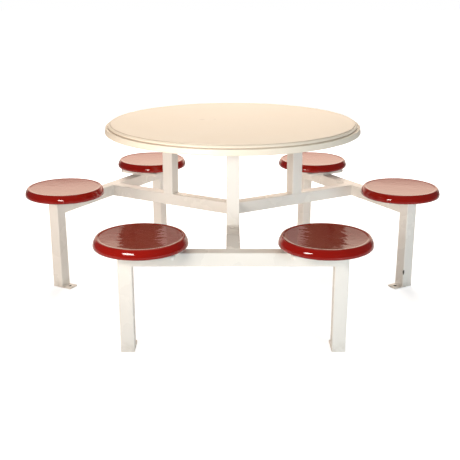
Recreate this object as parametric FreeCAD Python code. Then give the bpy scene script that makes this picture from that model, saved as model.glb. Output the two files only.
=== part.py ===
import FreeCAD, Part
import math
import os
from FreeCAD import Vector

# Round canteen table with six swivel seats on one welded frame of square tube.
# Units are mm. +Z is up, the floor is z = 0, and the front arm points along -Y.
# The origin is the middle of the footprint, so the table's axis stands a little behind it.

# Table top: a moulded shell over a board core
table_height = 730.0
top_diameter = 1058.0
rim_depth = 37.0
rim_draft = 3.5
rim_wall = 6.0
rim_edge_round = 2.5
ledge_width = 11.0
bead_width = 9.0
bead_height = 8.4
bead_step = 2.2
gap_height = 3.0
gap_depth = 4.0
top_skin = 4.0
core_thickness = 18.0
core_margin = 12.0
core_chamfer = 4.0

# Frame of square tube
tube = 50.0
tube_wall = 2.0
tube_inner_corner = 1.0
frame_height = 380.0
beam_reach = 650.0
beam_length = 815.0
post_reach = 318.0

# Plates welded to the tubes
top_plate_side = 140.0
top_plate_thickness = 6.0
top_plate_corner = 12.0
top_screw_edge = 18.0
floor_plate_thickness = 6.0
floor_tab = 42.0
floor_tab_corner = 6.0
anchor_hole = 13.0

# Seat carrier: a shallow pressed tray, upside down on the beam
carrier_length = 172.0
carrier_width = 205.0
carrier_height = 15.0
carrier_sheet = 3.0
carrier_inner_corner = 10.0
carrier_inset = 35.5

# Swivel under each seat, set in from the end of the cross beam
seat_inset = 82.5
spindle_diameter = 25.0
spindle_nose = 2.0
washer_diameter = 68.0
washer_thickness = 2.5
flange_diameter = 110.0
flange_thickness = 5.0
flange_bolt_circle = 84.0
barrel_wall = 6.0
bush_wall = 3.5
ring_width = 5.5
ring_thickness = 1.5
ring_depth = 0.9
ring_mouth = 50.0

# Seat: a moulded shell with a thick pad over the hub
seat_diameter = 336.0
seat_depth = 35.0
seat_dish = 3.5
seat_skin = 4.6
seat_rim_wall = 13.0
seat_rim_drop = 1.5
seat_flare = 7.0
seat_crest = 5.0
seat_crest_rise = 1.25
seat_belly = 10.0
seat_tuck = 9.0
pad_margin = 10.0
pad_draft = 4.0

# Screws
screw_diameter = 6.0
screw_head_diameter = 11.6
pan_head_height = 3.2
pan_head_bevel = 1.6
seat_screw_grip = 14.0
top_screw_grip = 13.0
pilot_extra = 1.0

# Clearances
running_clearance = 0.05
press_gap = 0.05
screw_clearance = 0.15
spindle_hole_clearance = 0.2
end_play = 0.3
head_room = 1.5
pocket_clearance = 1.0

# Levels worked out from the sizes above
half_tube = tube / 2
top_radius = top_diameter / 2
ledge_radius = top_radius - rim_draft
bead_out = ledge_radius - ledge_width
bead_in = bead_out - bead_width
seat_radius = seat_diameter / 2
seat_spacing = beam_length - 2 * seat_inset
carrier_outer_end = beam_length / 2 - carrier_inset
skin_bottom = table_height - top_skin
core_bottom = skin_bottom - core_thickness
post_top = core_bottom - top_plate_thickness
carrier_top = frame_height + carrier_height
washer_top = carrier_top + washer_thickness
flange_top = washer_top + flange_thickness
seat_bottom = flange_top - seat_rim_drop
seat_top = seat_bottom + seat_depth
pocket_top = seat_top - seat_dish - seat_skin
spindle_top = pocket_top - head_room
ring_bottom = spindle_top - spindle_nose - ring_thickness
hub_top = ring_bottom - end_play

# Radii of the swivel, from the spindle outward
spindle_radius = spindle_diameter / 2
bush_inner = spindle_radius + running_clearance
bush_outer = bush_inner + bush_wall
barrel_inner = bush_outer + press_gap
barrel_outer = barrel_inner + barrel_wall
flange_radius = flange_diameter / 2
groove_radius = spindle_radius - ring_depth

# The table's axis, so that the footprint is centred on the origin
arm_turn = 120.0
front_reach = beam_reach + seat_radius
rear_reach = (beam_reach * math.cos(math.radians(60))
              + seat_spacing / 2 * math.cos(math.radians(30)) + seat_radius)
axis_back = (front_reach - rear_reach) / 2

up = Vector(0, 0, 1)
arms = {"front": 0.0, "left": -arm_turn, "right": arm_turn}
# Each seat place: its arm, and the end of that arm's cross beam as a sign of X
places = {
    "front_left": ("front", -1),
    "front_right": ("front", 1),
    "mid_left": ("left", 1),
    "rear_left": ("left", -1),
    "mid_right": ("right", -1),
    "rear_right": ("right", 1),
}


def save(name, solids):
    shape = solids[0] if len(solids) == 1 else Part.makeCompound(solids)
    shape.exportStep("parts/" + name + ".step")


def on_arm(solid, arm):
    """Turn a solid from the front arm to another arm about the table's axis."""
    turned = solid.copy()
    turned.rotate(Vector(0, 0, 0), up, arms[arm])
    turned.translate(Vector(0, axis_back, 0))
    return turned


def at_seat(solid, end):
    """Move a solid from the origin to a seat's axis on the front arm."""
    moved = solid.copy()
    moved.translate(Vector(end * seat_spacing / 2, -beam_reach, 0))
    return moved


def line(start, finish):
    return Part.makeLine(start, finish)


def arc(start, middle, finish):
    return Part.Arc(start, middle, finish).toShape()


def revolve(edges):
    """Turn a closed outline in the XZ plane about the Z axis."""
    face = Part.Face(Part.Wire(edges))
    return face.revolve(Vector(0, 0, 0), up, 360)


def profile(points):
    """Straight edges through (radius, height) points, closed."""
    corners = [Vector(radius, 0, height) for radius, height in points]
    return [line(a, b) for a, b in zip(corners, corners[1:] + corners[:1])]


def ring(inner, outer, bottom, top):
    return revolve(profile([(inner, bottom), (outer, bottom), (outer, top), (inner, top)]))


def disc(radius, bottom, top):
    return Part.makeCylinder(radius, top - bottom, Vector(0, 0, bottom))


def rounded_plate(length, width, corner, bottom, top):
    """A plate centred on the Z axis with its four upright edges rounded."""
    plate = Part.makeBox(length, width, top - bottom, Vector(-length / 2, -width / 2, bottom))
    upright = [e for e in plate.Edges if abs(e.tangentAt(e.FirstParameter).z) > 0.9]
    return plate.makeFillet(corner, upright)


def square_tube(bottom, top):
    """Hollow square tube standing on the Z axis, with rounded corners."""
    bore = tube - 2 * tube_wall
    outer = rounded_plate(tube, tube, tube_inner_corner + tube_wall, bottom, top)
    return outer.cut(rounded_plate(bore, bore, tube_inner_corner, bottom, top))


def prism(corners, run):
    """A solid from a polygon and the vector it is pushed along."""
    wire = Part.makePolygon(corners + corners[:1])
    return Part.Face(wire).extrude(run)


def one_solid(shape):
    return shape.Solids[0]


def table_top():
    """Moulded shell: flat disc, step, rounded bead, shadow gap, ledge and a flaring rim."""
    bottom = table_height - rim_depth
    bead_top = table_height - bead_step
    bead_low = bead_top - bead_height
    ledge = bead_low - gap_height
    gap_in = bead_out - gap_depth
    shoulder = ledge - rim_wall
    lean = math.sqrt(0.5)
    bead_mid = Vector(bead_in + bead_width * lean, 0, bead_low + bead_height * lean)
    turn = rim_edge_round * (1 - lean)
    flat_edge = Vector(bead_in, 0, table_height)
    bead_start = Vector(bead_in, 0, bead_top)
    bead_end = Vector(bead_out, 0, bead_low)
    gap_top = Vector(gap_in, 0, bead_low)
    gap_foot = Vector(gap_in, 0, ledge)
    ledge_end = Vector(ledge_radius - rim_edge_round, 0, ledge)
    wall_top = Vector(ledge_radius, 0, ledge - rim_edge_round)
    wall_foot = Vector(top_radius, 0, bottom + rim_edge_round)
    foot_end = Vector(top_radius - rim_edge_round, 0, bottom)
    foot_in = Vector(top_radius - rim_wall, 0, bottom)
    inner_top = Vector(ledge_radius - rim_wall, 0, shoulder - rim_wall)
    inner_bend = Vector(gap_in - rim_wall, 0, shoulder)
    hollow_edge = Vector(bead_in - top_skin, 0, skin_bottom)
    edges = [
        line(Vector(0, 0, table_height), flat_edge),
        line(flat_edge, bead_start),
        arc(bead_start, bead_mid, bead_end),
        line(bead_end, gap_top),
        line(gap_top, gap_foot),
        line(gap_foot, ledge_end),
        arc(ledge_end, Vector(ledge_radius - turn, 0, ledge - turn), wall_top),
        line(wall_top, wall_foot),
        arc(wall_foot, Vector(top_radius - turn, 0, bottom + turn), foot_end),
        line(foot_end, foot_in),
        line(foot_in, inner_top),
        line(inner_top, inner_bend),
        line(inner_bend, hollow_edge),
        line(hollow_edge, Vector(0, 0, skin_bottom)),
        line(Vector(0, 0, skin_bottom), Vector(0, 0, table_height)),
    ]
    return on_arm(revolve(edges), "front")


def top_screw_places():
    """The four screws of one top plate, on the front arm."""
    offset = top_plate_side / 2 - top_screw_edge
    return [Vector(x * offset, -post_reach + y * offset, 0) for x in (-1, 1) for y in (-1, 1)]


def spread(solid, spots):
    copies = []
    for spot in spots:
        copy = solid.copy()
        copy.translate(spot)
        copies.append(copy)
    return copies


def top_core():
    """Round board under the shell, drilled for the screws of the three top plates."""
    radius = bead_in - core_margin
    outline = [(0, core_bottom), (radius - core_chamfer, core_bottom),
               (radius, core_bottom + core_chamfer), (radius, skin_bottom), (0, skin_bottom)]
    core = on_arm(revolve(profile(outline)), "front")
    pilot = disc(screw_diameter / 2 + screw_clearance, core_bottom, core_bottom + top_screw_grip + pilot_extra)
    for arm in arms:
        for hole in spread(pilot, top_screw_places()):
            core = core.cut(on_arm(hole, arm))
    return one_solid(core)


def top_plate():
    """Square plate on a post, with a hole near each corner."""
    plate = rounded_plate(top_plate_side, top_plate_side, top_plate_corner, post_top, core_bottom)
    plate.translate(Vector(0, -post_reach, 0))
    hole = disc(screw_diameter / 2 + screw_clearance, post_top, core_bottom)
    for cut in spread(hole, top_screw_places()):
        plate = plate.cut(cut)
    return one_solid(plate)


def pan_head_screw():
    """Screw with a bevelled head under the top plate, its pointed shank in the core."""
    head = screw_head_diameter / 2
    shank = screw_diameter / 2
    tip = core_bottom + top_screw_grip
    low = post_top - pan_head_height
    return revolve(profile([
        (0, low), (head - pan_head_bevel, low), (head, low + pan_head_bevel), (head, post_top),
        (shank, post_top), (shank, tip - shank), (0, tip),
    ]))


def post():
    """Upright tube standing on a radial beam."""
    upright = square_tube(frame_height, post_top)
    upright.translate(Vector(0, -post_reach, 0))
    return upright


def radial_beam():
    """Tube from the table's axis to the cross beam, pointed so that three of them meet."""
    length = beam_reach - half_tube
    beam = square_tube(0, length)
    beam.rotate(Vector(0, 0, 0), Vector(1, 0, 0), 90)
    beam.translate(Vector(0, 0, frame_height - half_tube))
    slope = math.tan(math.radians(30))
    side = tube
    low = frame_height - tube
    point = [Vector(0, 0, low), Vector(side, -side * slope, low), Vector(side, -length, low),
             Vector(-side, -length, low), Vector(-side, -side * slope, low)]
    return one_solid(beam.common(prism(point, Vector(0, 0, tube))))


def cross_beam():
    """Tube across the end of an arm, mitred at both ends for the legs."""
    beam = square_tube(-beam_length / 2, beam_length / 2)
    beam.rotate(Vector(0, 0, 0), Vector(0, 1, 0), 90)
    beam.translate(Vector(0, -beam_reach, frame_height - half_tube))
    back = -beam_reach - half_tube
    end = beam_length / 2
    mitre = [Vector(-end, back, frame_height), Vector(end, back, frame_height),
             Vector(end - tube, back, frame_height - tube),
             Vector(tube - end, back, frame_height - tube)]
    return one_solid(beam.common(prism(mitre, Vector(0, tube, 0))))


def leg(end):
    """Upright tube under one end of a cross beam, mitred to it."""
    outer = end * beam_length / 2
    inner = outer - end * tube
    upright = square_tube(floor_plate_thickness, frame_height)
    upright.translate(Vector((outer + inner) / 2, -beam_reach, 0))
    back = -beam_reach - half_tube
    mitre = [Vector(outer, back, floor_plate_thickness), Vector(outer, back, frame_height),
             Vector(inner, back, frame_height - tube), Vector(inner, back, floor_plate_thickness)]
    return one_solid(upright.common(prism(mitre, Vector(0, tube, 0))))


def floor_plate(end):
    """Foot plate, flush under the leg, with a drilled tab towards the table's axis."""
    middle = end * (beam_length - tube) / 2
    outer = -beam_reach - half_tube
    depth = tube + floor_tab
    plate = Part.makeBox(tube, depth, floor_plate_thickness, Vector(middle - half_tube, outer, 0))
    tab_edges = [e for e in plate.Edges
                 if abs(e.tangentAt(e.FirstParameter).z) > 0.9
                 and e.CenterOfMass.y > outer + depth / 2]
    plate = plate.makeFillet(floor_tab_corner, tab_edges)
    hole = disc(anchor_hole / 2, 0, floor_plate_thickness)
    hole.translate(Vector(middle, outer + tube + floor_tab / 2, 0))
    return one_solid(plate.cut(hole))


def seat_carrier(end):
    """Pressed tray, open below, resting on the cross beam, with a hole for the spindle."""
    inner_length = carrier_length - 2 * carrier_sheet
    inner_width = carrier_width - 2 * carrier_sheet
    tray = rounded_plate(carrier_length, carrier_width, carrier_inner_corner + carrier_sheet,
                         frame_height, carrier_top)
    hollow = rounded_plate(inner_length, inner_width, carrier_inner_corner,
                           frame_height, carrier_top - carrier_sheet)
    tray = tray.cut(hollow)
    tray.translate(Vector(end * (carrier_outer_end - carrier_length / 2), -beam_reach, 0))
    hole = disc(spindle_radius + spindle_hole_clearance, frame_height, carrier_top)
    return one_solid(tray.cut(at_seat(hole, end)))


def spindle():
    """Post of the swivel, welded to the beam, grooved near its top for the ring."""
    groove_low = ring_bottom - press_gap
    groove_high = ring_bottom + ring_thickness + press_gap
    chamfer = spindle_nose / 2
    return revolve(profile([
        (0, frame_height), (spindle_radius, frame_height), (spindle_radius, groove_low),
        (groove_radius, groove_low), (groove_radius, groove_high), (spindle_radius, groove_high),
        (spindle_radius, spindle_top - chamfer), (spindle_radius - chamfer, spindle_top),
        (0, spindle_top),
    ]))


def thrust_washer():
    inner = spindle_radius + spindle_hole_clearance
    return ring(inner, washer_diameter / 2, carrier_top, washer_top)


def retaining_ring():
    """Spring ring with an open mouth, snapped into the spindle's groove."""
    inner = groove_radius + press_gap
    outer = inner + ring_width
    clip = ring(inner, outer, ring_bottom, ring_bottom + ring_thickness)
    half = math.radians(ring_mouth / 2)
    reach = 2 * outer
    mouth = [Vector(0, 0, ring_bottom), Vector(reach * math.cos(half), -reach * math.sin(half), ring_bottom),
             Vector(reach * math.cos(half), reach * math.sin(half), ring_bottom)]
    return one_solid(clip.cut(prism(mouth, Vector(0, 0, ring_thickness))))


def hub_screw_places():
    circle = flange_bolt_circle / 2
    turns = [math.radians(45 + 90 * step) for step in range(4)]
    return [Vector(circle * math.cos(turn), circle * math.sin(turn), 0) for turn in turns]


def countersunk_screw(extra, length):
    """Screw with its head flush in the flange; extra widens it into a hole."""
    head = screw_head_diameter / 2
    shank = screw_diameter / 2
    sink = head - shank
    tip = flange_top + length
    return revolve(profile([
        (0, washer_top), (head + extra, washer_top), (shank + extra, washer_top + sink),
        (shank + extra, tip), (0, tip),
    ]))


def seat_hub():
    """Flange and barrel that turn on the spindle, with countersunk holes for the seat."""
    hub = revolve(profile([
        (barrel_inner, washer_top), (flange_radius, washer_top), (flange_radius, flange_top),
        (barrel_outer, flange_top), (barrel_outer, hub_top), (barrel_inner, hub_top),
    ]))
    for hole in spread(countersunk_screw(screw_clearance, 0), hub_screw_places()):
        hub = hub.cut(hole)
    return one_solid(hub)


def hub_bush():
    return ring(bush_inner, bush_outer, washer_top, hub_top)


def seat_shell():
    """Dished round seat with a rolled crest, a flared side and a pad over the hub."""
    radius = seat_radius
    crest_out = radius - seat_flare
    crest_in = crest_out - seat_crest
    crest_low = seat_top - seat_crest_rise
    middle = seat_top - seat_dish
    rise = crest_low - middle
    dish_radius = (crest_in ** 2 + rise ** 2) / (2 * rise)
    half_way = crest_in / 2
    half_rise = dish_radius - math.sqrt(dish_radius ** 2 - half_way ** 2)
    belly = seat_bottom + seat_belly
    lean = math.sqrt(0.5)
    tuck_mid = Vector(radius - seat_tuck * (1 - lean), 0, belly - seat_belly * lean)
    # an arc that leaves the belly upright has come in by a quarter of the flare at half its height
    flare_mid = Vector(radius - seat_flare / 4, 0, (crest_low + belly) / 2)
    inner = radius - seat_rim_wall
    pad = flange_radius + pad_margin
    pocket = barrel_outer + pocket_clearance
    top_centre = Vector(0, 0, middle)
    crest_start = Vector(crest_in, 0, crest_low)
    crest_end = Vector(crest_out, 0, crest_low)
    belly_point = Vector(radius, 0, belly)
    tuck_end = Vector(radius - seat_tuck, 0, seat_bottom)
    edges = [
        arc(top_centre, Vector(half_way, 0, middle + half_rise), crest_start),
        arc(crest_start, Vector((crest_in + crest_out) / 2, 0, seat_top), crest_end),
        arc(crest_end, flare_mid, belly_point),
        arc(belly_point, tuck_mid, tuck_end),
    ]
    below = [(radius - seat_tuck, seat_bottom), (inner, seat_bottom),
             (inner - pad_draft, pocket_top), (pad + pad_draft, pocket_top), (pad, flange_top),
             (pocket, flange_top), (pocket, pocket_top), (0, pocket_top), (0, middle)]
    corners = [Vector(across, 0, height) for across, height in below]
    edges += [line(a, b) for a, b in zip(corners, corners[1:])]
    shell = revolve(edges)
    pilot = disc(screw_diameter / 2 + screw_clearance, flange_top, flange_top + seat_screw_grip + pilot_extra)
    for hole in spread(pilot, hub_screw_places()):
        shell = shell.cut(hole)
    return one_solid(shell)


def build():
    os.makedirs("parts", exist_ok=True)
    save("table_top", [table_top()])
    save("top_core", [top_core()])
    screws = []
    for arm in arms:
        save("post_" + arm, [on_arm(post(), arm)])
        save("top_plate_" + arm, [on_arm(top_plate(), arm)])
        save("radial_beam_" + arm, [on_arm(radial_beam(), arm)])
        save("cross_beam_" + arm, [on_arm(cross_beam(), arm)])
        screws += [on_arm(s, arm) for s in spread(pan_head_screw(), top_screw_places())]
    save("top_screws", screws)
    spindles = []
    washers = []
    rings = []
    for name, (arm, end) in places.items():
        save("leg_" + name, [on_arm(leg(end), arm)])
        save("floor_plate_" + name, [on_arm(floor_plate(end), arm)])
        save("seat_carrier_" + name, [on_arm(seat_carrier(end), arm)])
        spindles.append(on_arm(at_seat(spindle(), end), arm))
        washers.append(on_arm(at_seat(thrust_washer(), end), arm))
        rings.append(on_arm(at_seat(retaining_ring(), end), arm))
        save("seat_" + name, [on_arm(at_seat(seat_shell(), end), arm)])
        save("seat_hub_" + name, [on_arm(at_seat(seat_hub(), end), arm)])
        save("hub_bush_" + name, [on_arm(at_seat(hub_bush(), end), arm)])
        fixings = spread(countersunk_screw(0, seat_screw_grip), hub_screw_places())
        save("seat_screws_" + name, [on_arm(at_seat(s, end), arm) for s in fixings])
    save("spindles", spindles)
    save("thrust_washers", washers)
    save("retaining_rings", rings)


build()
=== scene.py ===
import bpy
import math
import numpy as np
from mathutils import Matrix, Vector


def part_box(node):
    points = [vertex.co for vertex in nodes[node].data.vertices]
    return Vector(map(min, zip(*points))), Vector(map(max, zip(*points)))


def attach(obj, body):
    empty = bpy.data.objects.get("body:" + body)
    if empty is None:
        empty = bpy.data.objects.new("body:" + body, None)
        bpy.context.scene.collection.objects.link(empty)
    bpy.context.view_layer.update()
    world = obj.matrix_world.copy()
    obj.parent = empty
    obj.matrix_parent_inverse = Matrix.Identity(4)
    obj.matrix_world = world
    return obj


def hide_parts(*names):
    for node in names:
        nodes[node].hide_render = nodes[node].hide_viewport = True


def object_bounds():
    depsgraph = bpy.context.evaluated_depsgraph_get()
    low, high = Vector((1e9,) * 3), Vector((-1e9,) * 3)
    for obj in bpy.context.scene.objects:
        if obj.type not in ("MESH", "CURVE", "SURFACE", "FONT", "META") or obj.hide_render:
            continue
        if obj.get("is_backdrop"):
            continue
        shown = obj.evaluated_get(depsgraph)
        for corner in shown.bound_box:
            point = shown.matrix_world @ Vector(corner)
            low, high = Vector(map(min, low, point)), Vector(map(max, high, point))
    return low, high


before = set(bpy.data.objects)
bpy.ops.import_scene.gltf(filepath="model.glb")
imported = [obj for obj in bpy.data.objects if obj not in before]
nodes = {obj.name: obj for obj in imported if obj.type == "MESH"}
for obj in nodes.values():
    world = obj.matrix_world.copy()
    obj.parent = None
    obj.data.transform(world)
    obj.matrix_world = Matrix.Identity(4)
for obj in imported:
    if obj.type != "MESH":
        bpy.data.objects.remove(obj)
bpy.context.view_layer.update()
scene = bpy.context.scene
print("frame loaded:", len(nodes), "nodes")

# where the frame stands, read from the boxes of its nodes, in metres
mm = 0.001
topLow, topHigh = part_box("table_top")
axisX, axisY = (topLow.x + topHigh.x) / 2, (topLow.y + topHigh.y) / 2
crossLow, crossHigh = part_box("cross_beam_front")
postLow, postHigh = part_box("post_front")
tubeSide = crossHigh.z - crossLow.z
halfTube = tubeSide / 2
frameTop, frameLow = crossHigh.z, crossLow.z
beamReach = axisY - (crossLow.y + crossHigh.y) / 2
beamHalf = (crossHigh.x - crossLow.x) / 2
postReach = axisY - (postLow.y + postHigh.y) / 2
postTop = postHigh.z

# each arm: its turn about the table's axis, in degrees
arms = {"front": 0, "left": -120, "right": 120}
# each seat place: its arm, and the end of that arm's cross beam as a sign of X
places = {
    "front_left": ("front", -1), "front_right": ("front", 1),
    "mid_left": ("left", 1), "rear_left": ("left", -1),
    "mid_right": ("right", -1), "rear_right": ("right", 1),
}


def onArm(points, arm):
    # turned about the table's axis from the front arm, which points along -Y
    turn = math.radians(arms[arm])
    x, y, z = points[..., 0], points[..., 1], points[..., 2]
    turnedX = math.cos(turn) * x - math.sin(turn) * y
    turnedY = math.sin(turn) * x + math.cos(turn) * y
    return np.stack([turnedX + axisX, turnedY + axisY, z], -1)


shortest = 1e-12  # the least length that a step is divided by


def unit(steps):
    # each step divided by its length; a step of no length stays as it is
    return steps / np.maximum(np.linalg.norm(steps, axis=1), shortest)[:, None]


def rounded(corners, radii, steps, closed=True):
    # each corner becomes a true arc of its radius: a rational curve from one side to the next,
    # weighted by the cosine of half the turn
    corners = np.asarray(corners, float)
    radii = np.broadcast_to(np.asarray(radii, float), len(corners))
    before = unit(corners - np.roll(corners, 1, 0))
    after = unit(np.roll(corners, -1, 0) - corners)
    half = np.arccos(np.clip((before * after).sum(1), -1, 1)) / 2
    cut = (radii * np.tan(half))[:, None]
    bounds = (corners - before * cut, corners, corners + after * cut)
    first, middle, last = (spots[:, None] for spots in bounds)
    along = np.linspace(0, 1, steps)[None, :, None]
    pull = 2 * np.cos(half)[:, None, None] * along * (1 - along)
    curve = (1 - along) ** 2 * first + pull * middle + along ** 2 * last
    curve = curve / ((1 - along) ** 2 + pull + along ** 2)
    if closed:
        return curve.reshape(-1, 2)
    return np.concatenate([corners[:1], curve[1:-1].reshape(-1, 2), corners[-1:]])


def softened(corners, steps):
    # an open line through rows of (radius from the axis, height, rounding of that corner)
    corners = np.array(corners, float)
    return rounded(corners[:, :2], corners[:, 2], steps, closed=False)


def filled(line, gap):
    # points added along a line so that no step is longer than the gap
    counts = np.ceil(np.linalg.norm(np.diff(line, axis=0), axis=1) / gap).astype(int).clip(1)
    parts = [start + np.arange(count) / count for start, count in enumerate(counts)]
    at = np.concatenate(parts + [[len(counts)]])
    return np.stack([np.interp(at, np.arange(len(line)), column) for column in line.T], -1)


def gridFaces(rows, cols, closeRows):
    # corner numbers of the quads of a grid whose columns close on themselves
    row, col = np.meshgrid(np.arange(rows if closeRows else rows - 1), np.arange(cols), indexing="ij")
    nextRow, nextCol = (row + 1) % rows, (col + 1) % cols
    corners = [row * cols + col, row * cols + nextCol, nextRow * cols + nextCol, nextRow * cols + col]
    return np.stack(corners, -1).reshape(-1, 4)


def roundShape(middles, radii, across, beside, turns):
    # circles of changing radius along a line of middles, closed by a point at both ends
    angle = np.linspace(0, 2 * math.pi, turns, endpoint=False)
    spokes = np.cos(angle)[:, None] * np.asarray(across) + np.sin(angle)[:, None] * np.asarray(beside)
    rings = middles[1:-1, None] + radii[1:-1, None, None] * spokes
    points = np.concatenate([rings.reshape(-1, 3), middles[:1], middles[-1:]])
    spoke = np.arange(turns)
    nextSpoke = (spoke + 1) % turns
    lastRing = (len(middles) - 3) * turns
    first, last = np.full(turns, len(points) - 2), np.full(turns, len(points) - 1)
    fans = np.concatenate([np.stack([nextSpoke, spoke, first], -1),
                           np.stack([lastRing + spoke, lastRing + nextSpoke, last], -1)])
    return points, gridFaces(len(middles) - 2, turns, False), fans


def ringShape(grid):
    # a grid closed both ways, as a hollow tube or a drilled plate is
    rows, cols = grid.shape[:2]
    return grid.reshape(-1, 3), gridFaces(rows, cols, True), np.zeros((0, 3), int)


def outward(shape):
    # faces turned round where the closed shape's signed volume is negative
    points, quads, fans = shape
    volume = 0
    for faces, corners in ((quads, (0, 1, 2)), (quads, (0, 2, 3)), (fans, (0, 1, 2))):
        first, second, third = (points[faces[:, corner]] for corner in corners)
        volume += (first * np.cross(second, third)).sum()
    return shape if volume > 0 else (points, quads[:, ::-1], fans[:, ::-1])


def joined(shapes):
    # several closed shapes as one mesh
    shapes = [outward(shape) for shape in shapes]
    shift = np.cumsum([0] + [len(points) for points, quads, fans in shapes])
    return (np.concatenate([points for points, quads, fans in shapes]),
            np.concatenate([shape[1] + start for shape, start in zip(shapes, shift)]),
            np.concatenate([shape[2] + start for shape, start in zip(shapes, shift)]))


sharpAngle = 32  # degrees between two faces, past which their edge is drawn sharp


def makePiece(name, shape, finish, slot, body="frame", stands=(), sharp=sharpAngle, **marks):
    # a mesh that rides a body; its marks are the point values that the finishes read
    points, quads, fans = shape
    mesh = bpy.data.meshes.new(name)
    mesh.vertices.add(len(points))
    mesh.vertices.foreach_set("co", points.astype(np.float32).ravel())
    corners = np.concatenate([quads.ravel(), fans.ravel()])
    starts = np.concatenate([np.arange(len(quads)) * 4, quads.size + np.arange(len(fans)) * 3])
    mesh.loops.add(len(corners))
    mesh.loops.foreach_set("vertex_index", corners.astype(np.int32))
    mesh.polygons.add(len(starts))
    mesh.polygons.foreach_set("loop_start", starts.astype(np.int32))
    mesh.polygons.foreach_set("use_smooth", np.ones(len(starts), bool))
    mesh.update(calc_edges=True)
    mesh.set_sharp_from_angle(angle=math.radians(sharp))
    for label in ("edge", "recess", "raw"):
        values = marks.get(label, np.zeros(len(points)))
        layer = mesh.attributes.new(label, "FLOAT", "POINT")
        layer.data.foreach_set("value", np.asarray(values, np.float32))
    mesh.materials.append(finish)
    made = bpy.data.objects.new(name, mesh)
    scene.collection.objects.link(made)
    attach(made, body)
    if stands:
        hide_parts(*stands)


def feed(tree, node, inputs):
    # an input takes a number, a colour or another node's socket
    for key, value in inputs.items():
        if isinstance(value, bpy.types.NodeSocket):
            tree.links.new(value, node.inputs[key])
        else:
            node.inputs[key].default_value = value


def put(tree, kind, inputs=None, **settings):
    # a new node with its settings and inputs
    node = tree.nodes.new("ShaderNode" + kind)
    for key, value in settings.items():
        setattr(node, key, value)
    feed(tree, node, inputs or {})
    return node


def newFinish(name):
    # a material of one shader, with the Object coordinates that its patterns read
    finish = bpy.data.materials.new(name)
    finish.use_nodes = True
    tree = finish.node_tree
    tree.nodes.clear()
    shader = put(tree, "BsdfPrincipled")
    put(tree, "OutputMaterial", {"Surface": shader.outputs["BSDF"]})
    coords = put(tree, "TexCoord").outputs["Object"]
    return finish, tree, shader, coords


def newGroup(name, inputs, outputs):
    # a shared effect, with the kind of each named input and output
    tree = bpy.data.node_groups.new(name, "ShaderNodeTree")
    for way, sockets in (("INPUT", inputs), ("OUTPUT", outputs)):
        for label, kind in sockets.items():
            tree.interface.new_socket(label, in_out=way, socket_type="NodeSocket" + kind)
    return tree, tree.nodes.new("NodeGroupInput").outputs, tree.nodes.new("NodeGroupOutput")


def use(tree, group, **inputs):
    # a shared effect placed in a material
    return put(tree, "Group", inputs, node_tree=group).outputs


def blendColour(tree, mask, low, high):
    # low where the mask is 0, high where it is 1; 6, 7 and 2 are the Mix node's colour sockets
    return put(tree, "Mix", {0: mask, 6: low, 7: high}, data_type="RGBA").outputs[2]


def ramp(tree, value, low, high, start=0.0, finish=1.0):
    # a value that runs from low to high becomes one from start to finish, held at both ends
    return put(tree, "MapRange", {"Value": value, "From Min": low, "From Max": high,
                                  "To Min": start, "To Max": finish}).outputs["Result"]


def maths(tree, kind, first, second):
    # two values made into one by Blender's own name for the sum
    return put(tree, "Math", {0: first, 1: second}, operation=kind).outputs[0]


def noise(tree, vector, scale, detail, **more):
    # soft random clouds, mostly near one half
    inputs = {"Vector": vector, "Scale": scale, "Detail": detail, **more}
    return put(tree, "TexNoise", inputs).outputs["Fac"]


def stretched(tree, vector, scale, turn=0.0):
    # coordinates scaled along each axis, then turned about Z
    return put(tree, "Mapping", {"Vector": vector, "Rotation": (0.0, 0.0, turn), "Scale": scale}).outputs[0]


def mark(tree, label):
    # a point value of the piece, as makePiece stored it
    return put(tree, "Attribute", attribute_name=label).outputs["Fac"]


def bumped(tree, height, distance, strength, **more):
    # the normal of a surface that is raised by a height times a distance in metres
    inputs = {"Height": height, "Distance": distance, "Strength": strength, **more}
    return put(tree, "Bump", inputs).outputs[0]


print("tools ready")

# orange peel: the soft waviness of a sprayed or moulded skin, as a height
peelLook = {"fineDetail": 1.5, "broadDetail": 1.0, "broadShare": 1.5}
peel, given, result = newGroup("orangePeel", {"Place": "Vector", "Fine": "Float", "Broad": "Float"},
                               {"Height": "Float"})
fine = noise(peel, given["Place"], given["Fine"], peelLook["fineDetail"])
broad = noise(peel, given["Place"], given["Broad"], peelLook["broadDetail"])
waves = put(peel, "Math", {0: broad, 1: peelLook["broadShare"], 2: fine}, operation="MULTIPLY_ADD")
feed(peel, result, {"Height": waves.outputs[0]})

# rubbed edges: a broken mask that follows the piece's own edge attribute
rubLook = {"patches": 38.0, "detail": 6.0, "broken": 0.7, "band": (0.86, 1.02)}
rub, given, result = newGroup("rubbedEdge", {"Place": "Vector", "Edge": "Float", "Reach": "Float"},
                              {"Mask": "Float"})
patches = noise(rub, given["Place"], rubLook["patches"], rubLook["detail"], Roughness=rubLook["broken"])
worn = maths(rub, "ADD", patches, maths(rub, "MULTIPLY", given["Edge"], given["Reach"]))
feed(rub, result, {"Mask": ramp(rub, worn, *rubLook["band"])})

# hair scratches: thin lines where a stretched noise crosses its middle value
hairLook = {"turn": 0.6, "stretch": (1.0, 7.0, 1.0), "detail": 2.0, "middle": 0.5}
hair, given, result = newGroup("hairScratches", {"Place": "Vector", "Scale": "Float", "Width": "Float"},
                               {"Mask": "Float"})
drawn = stretched(hair, given["Place"], hairLook["stretch"], hairLook["turn"])
lines = noise(hair, drawn, given["Scale"], hairLook["detail"])
off = put(hair, "Math", {0: maths(hair, "SUBTRACT", lines, hairLook["middle"])}, operation="ABSOLUTE")
feed(hair, result, {"Mask": ramp(hair, off.outputs[0], 0.0, given["Width"], 1.0, 0.0)})

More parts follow.
